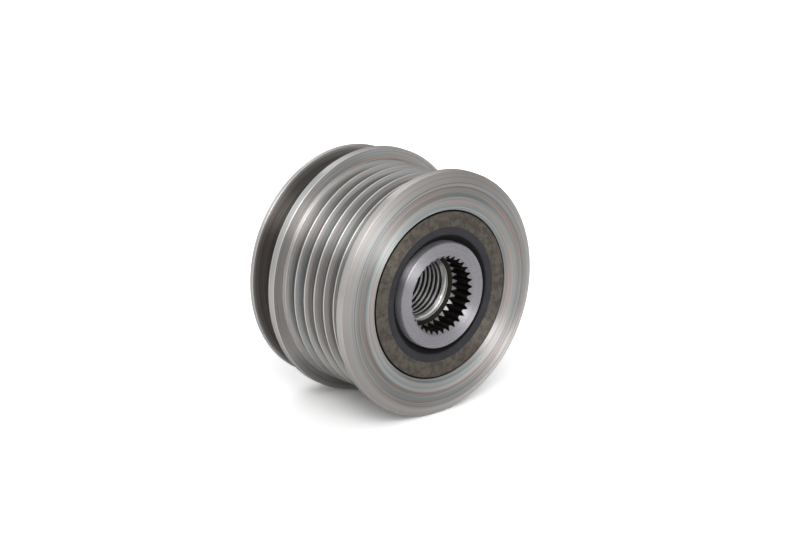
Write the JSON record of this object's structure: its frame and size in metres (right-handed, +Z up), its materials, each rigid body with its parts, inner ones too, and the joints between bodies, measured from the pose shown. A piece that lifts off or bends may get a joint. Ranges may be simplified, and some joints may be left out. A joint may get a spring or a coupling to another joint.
{
  "type": "alternator freewheel clutch",
  "caption": "Ribbed belt pulley on a one-way roller clutch, with needle bearings, lip seals and a serrated, threaded inner ring for the generator shaft.",
  "frame": {"origin": "on the main axis at the rear seat of the inner ring, where the centring bore opens; the shaft comes in there", "axes": "+Y along the main axis towards the generator, -Y towards the serrated front, +Z up"},
  "size_m": [0.0612, 0.0387, 0.0612],
  "materials": {
    "zinc_plated_steel": "fine turned, zinc plated, slightly iridescent",
    "ground_steel": "ground",
    "hardened_sheet": "hardened drawn sheet, oiled",
    "cage_sheet": "stamped sheet",
    "cage_polymer": "moulded",
    "phosphated_steel": "phosphated, mottled brown",
    "seal_rubber": "moulded nitrile rubber",
    "roller_steel": "lapped",
    "spring_steel": "tempered leaf"
  },
  "bodies": {
    "inner_ring": {"inner_ring": "ground_steel"},
    "pulley": {"pulley_ring": "zinc_plated_steel", "clutch_cup": "hardened_sheet", "clutch_cage": "cage_polymer", "front_stop_disc": "hardened_sheet", "rear_stop_disc": "hardened_sheet", "front_seal_ring": "phosphated_steel", "front_seal_lip": "seal_rubber", "rear_seal_ring": "phosphated_steel", "rear_seal_lip": "seal_rubber", "clutch_spring_01": "spring_steel", "clutch_spring_02": "spring_steel", "clutch_spring_03": "spring_steel", "clutch_spring_04": "spring_steel", "clutch_spring_05": "spring_steel", "clutch_spring_06": "spring_steel", "clutch_spring_07": "spring_steel", "clutch_spring_08": "spring_steel"},
    "front_needle_cage": {"front_needle_cage": "cage_sheet"},
    "rear_needle_cage": {"rear_needle_cage": "cage_sheet"},
    "front_needle_01": {"front_needle_01": "roller_steel"},
    "front_needle_02": {"front_needle_02": "roller_steel"},
    "front_needle_03": {"front_needle_03": "roller_steel"},
    "front_needle_04": {"front_needle_04": "roller_steel"},
    "front_needle_05": {"front_needle_05": "roller_steel"},
    "front_needle_06": {"front_needle_06": "roller_steel"},
    "front_needle_07": {"front_needle_07": "roller_steel"},
    "front_needle_08": {"front_needle_08": "roller_steel"},
    "front_needle_09": {"front_needle_09": "roller_steel"},
    "front_needle_10": {"front_needle_10": "roller_steel"},
    "front_needle_11": {"front_needle_11": "roller_steel"},
    "front_needle_12": {"front_needle_12": "roller_steel"},
    "front_needle_13": {"front_needle_13": "roller_steel"},
    "front_needle_14": {"front_needle_14": "roller_steel"},
    "rear_needle_01": {"rear_needle_01": "roller_steel"},
    "rear_needle_02": {"rear_needle_02": "roller_steel"},
    "rear_needle_03": {"rear_needle_03": "roller_steel"},
    "rear_needle_04": {"rear_needle_04": "roller_steel"},
    "rear_needle_05": {"rear_needle_05": "roller_steel"},
    "rear_needle_06": {"rear_needle_06": "roller_steel"},
    "rear_needle_07": {"rear_needle_07": "roller_steel"},
    "rear_needle_08": {"rear_needle_08": "roller_steel"},
    "rear_needle_09": {"rear_needle_09": "roller_steel"},
    "rear_needle_10": {"rear_needle_10": "roller_steel"},
    "rear_needle_11": {"rear_needle_11": "roller_steel"},
    "rear_needle_12": {"rear_needle_12": "roller_steel"},
    "rear_needle_13": {"rear_needle_13": "roller_steel"},
    "rear_needle_14": {"rear_needle_14": "roller_steel"},
    "clutch_roller_01": {"clutch_roller_01": "roller_steel"},
    "clutch_roller_02": {"clutch_roller_02": "roller_steel"},
    "clutch_roller_03": {"clutch_roller_03": "roller_steel"},
    "clutch_roller_04": {"clutch_roller_04": "roller_steel"},
    "clutch_roller_05": {"clutch_roller_05": "roller_steel"},
    "clutch_roller_06": {"clutch_roller_06": "roller_steel"},
    "clutch_roller_07": {"clutch_roller_07": "roller_steel"},
    "clutch_roller_08": {"clutch_roller_08": "roller_steel"}
  },
  "joints": [
    {"name": "pulley_overrun", "type": "hinge", "parent": "inner_ring", "child": "pulley", "pos_m": [0, 0, 0], "axis": [0, -1, 0], "range_deg": [0, 3600]},
    {"name": "front_needles_orbit", "type": "hinge", "parent": "inner_ring", "child": "front_needle_cage", "pos_m": [0, -0.02988, 0], "axis": [0, -1, 0], "range_deg": [0, 1981.3]},
    {"name": "front_needle_01_spin", "type": "hinge", "parent": "front_needle_cage", "child": "front_needle_01", "pos_m": [0.01552, -0.02988, 0], "axis": [0, -1, 0], "range_deg": [0, 18475.4]},
    {"name": "front_needle_02_spin", "type": "hinge", "parent": "front_needle_cage", "child": "front_needle_02", "pos_m": [0.01398, -0.02988, 0.00673], "axis": [0, -1, 0], "range_deg": [0, 18475.4]},
    {"name": "front_needle_03_spin", "type": "hinge", "parent": "front_needle_cage", "child": "front_needle_03", "pos_m": [0.00968, -0.02988, 0.01213], "axis": [0, -1, 0], "range_deg": [0, 18475.4]},
    {"name": "front_needle_04_spin", "type": "hinge", "parent": "front_needle_cage", "child": "front_needle_04", "pos_m": [0.00345, -0.02988, 0.01513], "axis": [0, -1, 0], "range_deg": [0, 18475.4]},
    {"name": "front_needle_05_spin", "type": "hinge", "parent": "front_needle_cage", "child": "front_needle_05", "pos_m": [-0.00345, -0.02988, 0.01513], "axis": [0, -1, 0], "range_deg": [0, 18475.4]},
    {"name": "front_needle_06_spin", "type": "hinge", "parent": "front_needle_cage", "child": "front_needle_06", "pos_m": [-0.00968, -0.02988, 0.01213], "axis": [0, -1, 0], "range_deg": [0, 18475.4]},
    {"name": "front_needle_07_spin", "type": "hinge", "parent": "front_needle_cage", "child": "front_needle_07", "pos_m": [-0.01398, -0.02988, 0.00673], "axis": [0, -1, 0], "range_deg": [0, 18475.4]},
    {"name": "front_needle_08_spin", "type": "hinge", "parent": "front_needle_cage", "child": "front_needle_08", "pos_m": [-0.01552, -0.02988, 0], "axis": [0, -1, 0], "range_deg": [0, 18475.4]},
    {"name": "front_needle_09_spin", "type": "hinge", "parent": "front_needle_cage", "child": "front_needle_09", "pos_m": [-0.01398, -0.02988, -0.00673], "axis": [0, -1, 0], "range_deg": [0, 18475.4]},
    {"name": "front_needle_10_spin", "type": "hinge", "parent": "front_needle_cage", "child": "front_needle_10", "pos_m": [-0.00968, -0.02988, -0.01213], "axis": [0, -1, 0], "range_deg": [0, 18475.4]},
    {"name": "front_needle_11_spin", "type": "hinge", "parent": "front_needle_cage", "child": "front_needle_11", "pos_m": [-0.00345, -0.02988, -0.01513], "axis": [0, -1, 0], "range_deg": [0, 18475.4]},
    {"name": "front_needle_12_spin", "type": "hinge", "parent": "front_needle_cage", "child": "front_needle_12", "pos_m": [0.00345, -0.02988, -0.01513], "axis": [0, -1, 0], "range_deg": [0, 18475.4]},
    {"name": "front_needle_13_spin", "type": "hinge", "parent": "front_needle_cage", "child": "front_needle_13", "pos_m": [0.00968, -0.02988, -0.01213], "axis": [0, -1, 0], "range_deg": [0, 18475.4]},
    {"name": "front_needle_14_spin", "type": "hinge", "parent": "front_needle_cage", "child": "front_needle_14", "pos_m": [0.01398, -0.02988, -0.00673], "axis": [0, -1, 0], "range_deg": [0, 18475.4]},
    {"name": "rear_needles_orbit", "type": "hinge", "parent": "inner_ring", "child": "rear_needle_cage", "pos_m": [0, -0.00951, 0], "axis": [0, -1, 0], "range_deg": [0, 1981.3]},
    {"name": "rear_needle_01_spin", "type": "hinge", "parent": "rear_needle_cage", "child": "rear_needle_01", "pos_m": [0.01552, -0.00951, 0], "axis": [0, -1, 0], "range_deg": [0, 18475.4]},
    {"name": "rear_needle_02_spin", "type": "hinge", "parent": "rear_needle_cage", "child": "rear_needle_02", "pos_m": [0.01398, -0.00951, 0.00673], "axis": [0, -1, 0], "range_deg": [0, 18475.4]},
    {"name": "rear_needle_03_spin", "type": "hinge", "parent": "rear_needle_cage", "child": "rear_needle_03", "pos_m": [0.00968, -0.00951, 0.01213], "axis": [0, -1, 0], "range_deg": [0, 18475.4]},
    {"name": "rear_needle_04_spin", "type": "hinge", "parent": "rear_needle_cage", "child": "rear_needle_04", "pos_m": [0.00345, -0.00951, 0.01513], "axis": [0, -1, 0], "range_deg": [0, 18475.4]},
    {"name": "rear_needle_05_spin", "type": "hinge", "parent": "rear_needle_cage", "child": "rear_needle_05", "pos_m": [-0.00345, -0.00951, 0.01513], "axis": [0, -1, 0], "range_deg": [0, 18475.4]},
    {"name": "rear_needle_06_spin", "type": "hinge", "parent": "rear_needle_cage", "child": "rear_needle_06", "pos_m": [-0.00968, -0.00951, 0.01213], "axis": [0, -1, 0], "range_deg": [0, 18475.4]},
    {"name": "rear_needle_07_spin", "type": "hinge", "parent": "rear_needle_cage", "child": "rear_needle_07", "pos_m": [-0.01398, -0.00951, 0.00673], "axis": [0, -1, 0], "range_deg": [0, 18475.4]},
    {"name": "rear_needle_08_spin", "type": "hinge", "parent": "rear_needle_cage", "child": "rear_needle_08", "pos_m": [-0.01552, -0.00951, 0], "axis": [0, -1, 0], "range_deg": [0, 18475.4]},
    {"name": "rear_needle_09_spin", "type": "hinge", "parent": "rear_needle_cage", "child": "rear_needle_09", "pos_m": [-0.01398, -0.00951, -0.00673], "axis": [0, -1, 0], "range_deg": [0, 18475.4]},
    {"name": "rear_needle_10_spin", "type": "hinge", "parent": "rear_needle_cage", "child": "rear_needle_10", "pos_m": [-0.00968, -0.00951, -0.01213], "axis": [0, -1, 0], "range_deg": [0, 18475.4]},
    {"name": "rear_needle_11_spin", "type": "hinge", "parent": "rear_needle_cage", "child": "rear_needle_11", "pos_m": [-0.00345, -0.00951, -0.01513], "axis": [0, -1, 0], "range_deg": [0, 18475.4]},
    {"name": "rear_needle_12_spin", "type": "hinge", "parent": "rear_needle_cage", "child": "rear_needle_12", "pos_m": [0.00345, -0.00951, -0.01513], "axis": [0, -1, 0], "range_deg": [0, 18475.4]},
    {"name": "rear_needle_13_spin", "type": "hinge", "parent": "rear_needle_cage", "child": "rear_needle_13", "pos_m": [0.00968, -0.00951, -0.01213], "axis": [0, -1, 0], "range_deg": [0, 18475.4]},
    {"name": "rear_needle_14_spin", "type": "hinge", "parent": "rear_needle_cage", "child": "rear_needle_14", "pos_m": [0.01398, -0.00951, -0.00673], "axis": [0, -1, 0], "range_deg": [0, 18475.4]},
    {"name": "clutch_roller_01_release", "type": "hinge", "parent": "pulley", "child": "clutch_roller_01", "pos_m": [0, -0.0197, 0], "axis": [0, 1, 0], "range_deg": [0, 1.5], "stiffness_Nm_per_rad": 0.004, "springref_deg": -5.73, "deforming": ["clutch_spring_01"]},
    {"name": "clutch_roller_02_release", "type": "hinge", "parent": "pulley", "child": "clutch_roller_02", "pos_m": [0, -0.0197, 0], "axis": [0, 1, 0], "range_deg": [0, 1.5], "stiffness_Nm_per_rad": 0.004, "springref_deg": -5.73, "deforming": ["clutch_spring_02"]},
    {"name": "clutch_roller_03_release", "type": "hinge", "parent": "pulley", "child": "clutch_roller_03", "pos_m": [0, -0.0197, 0], "axis": [0, 1, 0], "range_deg": [0, 1.5], "stiffness_Nm_per_rad": 0.004, "springref_deg": -5.73, "deforming": ["clutch_spring_03"]},
    {"name": "clutch_roller_04_release", "type": "hinge", "parent": "pulley", "child": "clutch_roller_04", "pos_m": [0, -0.0197, 0], "axis": [0, 1, 0], "range_deg": [0, 1.5], "stiffness_Nm_per_rad": 0.004, "springref_deg": -5.73, "deforming": ["clutch_spring_04"]},
    {"name": "clutch_roller_05_release", "type": "hinge", "parent": "pulley", "child": "clutch_roller_05", "pos_m": [0, -0.0197, 0], "axis": [0, 1, 0], "range_deg": [0, 1.5], "stiffness_Nm_per_rad": 0.004, "springref_deg": -5.73, "deforming": ["clutch_spring_05"]},
    {"name": "clutch_roller_06_release", "type": "hinge", "parent": "pulley", "child": "clutch_roller_06", "pos_m": [0, -0.0197, 0], "axis": [0, 1, 0], "range_deg": [0, 1.5], "stiffness_Nm_per_rad": 0.004, "springref_deg": -5.73, "deforming": ["clutch_spring_06"]},
    {"name": "clutch_roller_07_release", "type": "hinge", "parent": "pulley", "child": "clutch_roller_07", "pos_m": [0, -0.0197, 0], "axis": [0, 1, 0], "range_deg": [0, 1.5], "stiffness_Nm_per_rad": 0.004, "springref_deg": -5.73, "deforming": ["clutch_spring_07"]},
    {"name": "clutch_roller_08_release", "type": "hinge", "parent": "pulley", "child": "clutch_roller_08", "pos_m": [0, -0.0197, 0], "axis": [0, 1, 0], "range_deg": [0, 1.5], "stiffness_Nm_per_rad": 0.004, "springref_deg": -5.73, "deforming": ["clutch_spring_08"]}
  ],
  "couplings": [
    {"joint": "front_needles_orbit", "follows": "pulley_overrun", "ratio": 0.54897},
    {"joint": "front_needle_01_spin", "follows": "pulley_overrun", "ratio": 5.1237},
    {"joint": "front_needle_02_spin", "follows": "pulley_overrun", "ratio": 5.1237},
    {"joint": "front_needle_03_spin", "follows": "pulley_overrun", "ratio": 5.1237},
    {"joint": "front_needle_04_spin", "follows": "pulley_overrun", "ratio": 5.1237},
    {"joint": "front_needle_05_spin", "follows": "pulley_overrun", "ratio": 5.1237},
    {"joint": "front_needle_06_spin", "follows": "pulley_overrun", "ratio": 5.1237},
    {"joint": "front_needle_07_spin", "follows": "pulley_overrun", "ratio": 5.1237},
    {"joint": "front_needle_08_spin", "follows": "pulley_overrun", "ratio": 5.1237},
    {"joint": "front_needle_09_spin", "follows": "pulley_overrun", "ratio": 5.1237},
    {"joint": "front_needle_10_spin", "follows": "pulley_overrun", "ratio": 5.1237},
    {"joint": "front_needle_11_spin", "follows": "pulley_overrun", "ratio": 5.1237},
    {"joint": "front_needle_12_spin", "follows": "pulley_overrun", "ratio": 5.1237},
    {"joint": "front_needle_13_spin", "follows": "pulley_overrun", "ratio": 5.1237},
    {"joint": "front_needle_14_spin", "follows": "pulley_overrun", "ratio": 5.1237},
    {"joint": "rear_needles_orbit", "follows": "pulley_overrun", "ratio": 0.54897},
    {"joint": "rear_needle_01_spin", "follows": "pulley_overrun", "ratio": 5.1237},
    {"joint": "rear_needle_02_spin", "follows": "pulley_overrun", "ratio": 5.1237},
    {"joint": "rear_needle_03_spin", "follows": "pulley_overrun", "ratio": 5.1237},
    {"joint": "rear_needle_04_spin", "follows": "pulley_overrun", "ratio": 5.1237},
    {"joint": "rear_needle_05_spin", "follows": "pulley_overrun", "ratio": 5.1237},
    {"joint": "rear_needle_06_spin", "follows": "pulley_overrun", "ratio": 5.1237},
    {"joint": "rear_needle_07_spin", "follows": "pulley_overrun", "ratio": 5.1237},
    {"joint": "rear_needle_08_spin", "follows": "pulley_overrun", "ratio": 5.1237},
    {"joint": "rear_needle_09_spin", "follows": "pulley_overrun", "ratio": 5.1237},
    {"joint": "rear_needle_10_spin", "follows": "pulley_overrun", "ratio": 5.1237},
    {"joint": "rear_needle_11_spin", "follows": "pulley_overrun", "ratio": 5.1237},
    {"joint": "rear_needle_12_spin", "follows": "pulley_overrun", "ratio": 5.1237},
    {"joint": "rear_needle_13_spin", "follows": "pulley_overrun", "ratio": 5.1237},
    {"joint": "rear_needle_14_spin", "follows": "pulley_overrun", "ratio": 5.1237},
    {"joint": "clutch_roller_02_release", "follows": "clutch_roller_01_release", "ratio": 1},
    {"joint": "clutch_roller_03_release", "follows": "clutch_roller_01_release", "ratio": 1},
    {"joint": "clutch_roller_04_release", "follows": "clutch_roller_01_release", "ratio": 1},
    {"joint": "clutch_roller_05_release", "follows": "clutch_roller_01_release", "ratio": 1},
    {"joint": "clutch_roller_06_release", "follows": "clutch_roller_01_release", "ratio": 1},
    {"joint": "clutch_roller_07_release", "follows": "clutch_roller_01_release", "ratio": 1},
    {"joint": "clutch_roller_08_release", "follows": "clutch_roller_01_release", "ratio": 1}
  ]
}
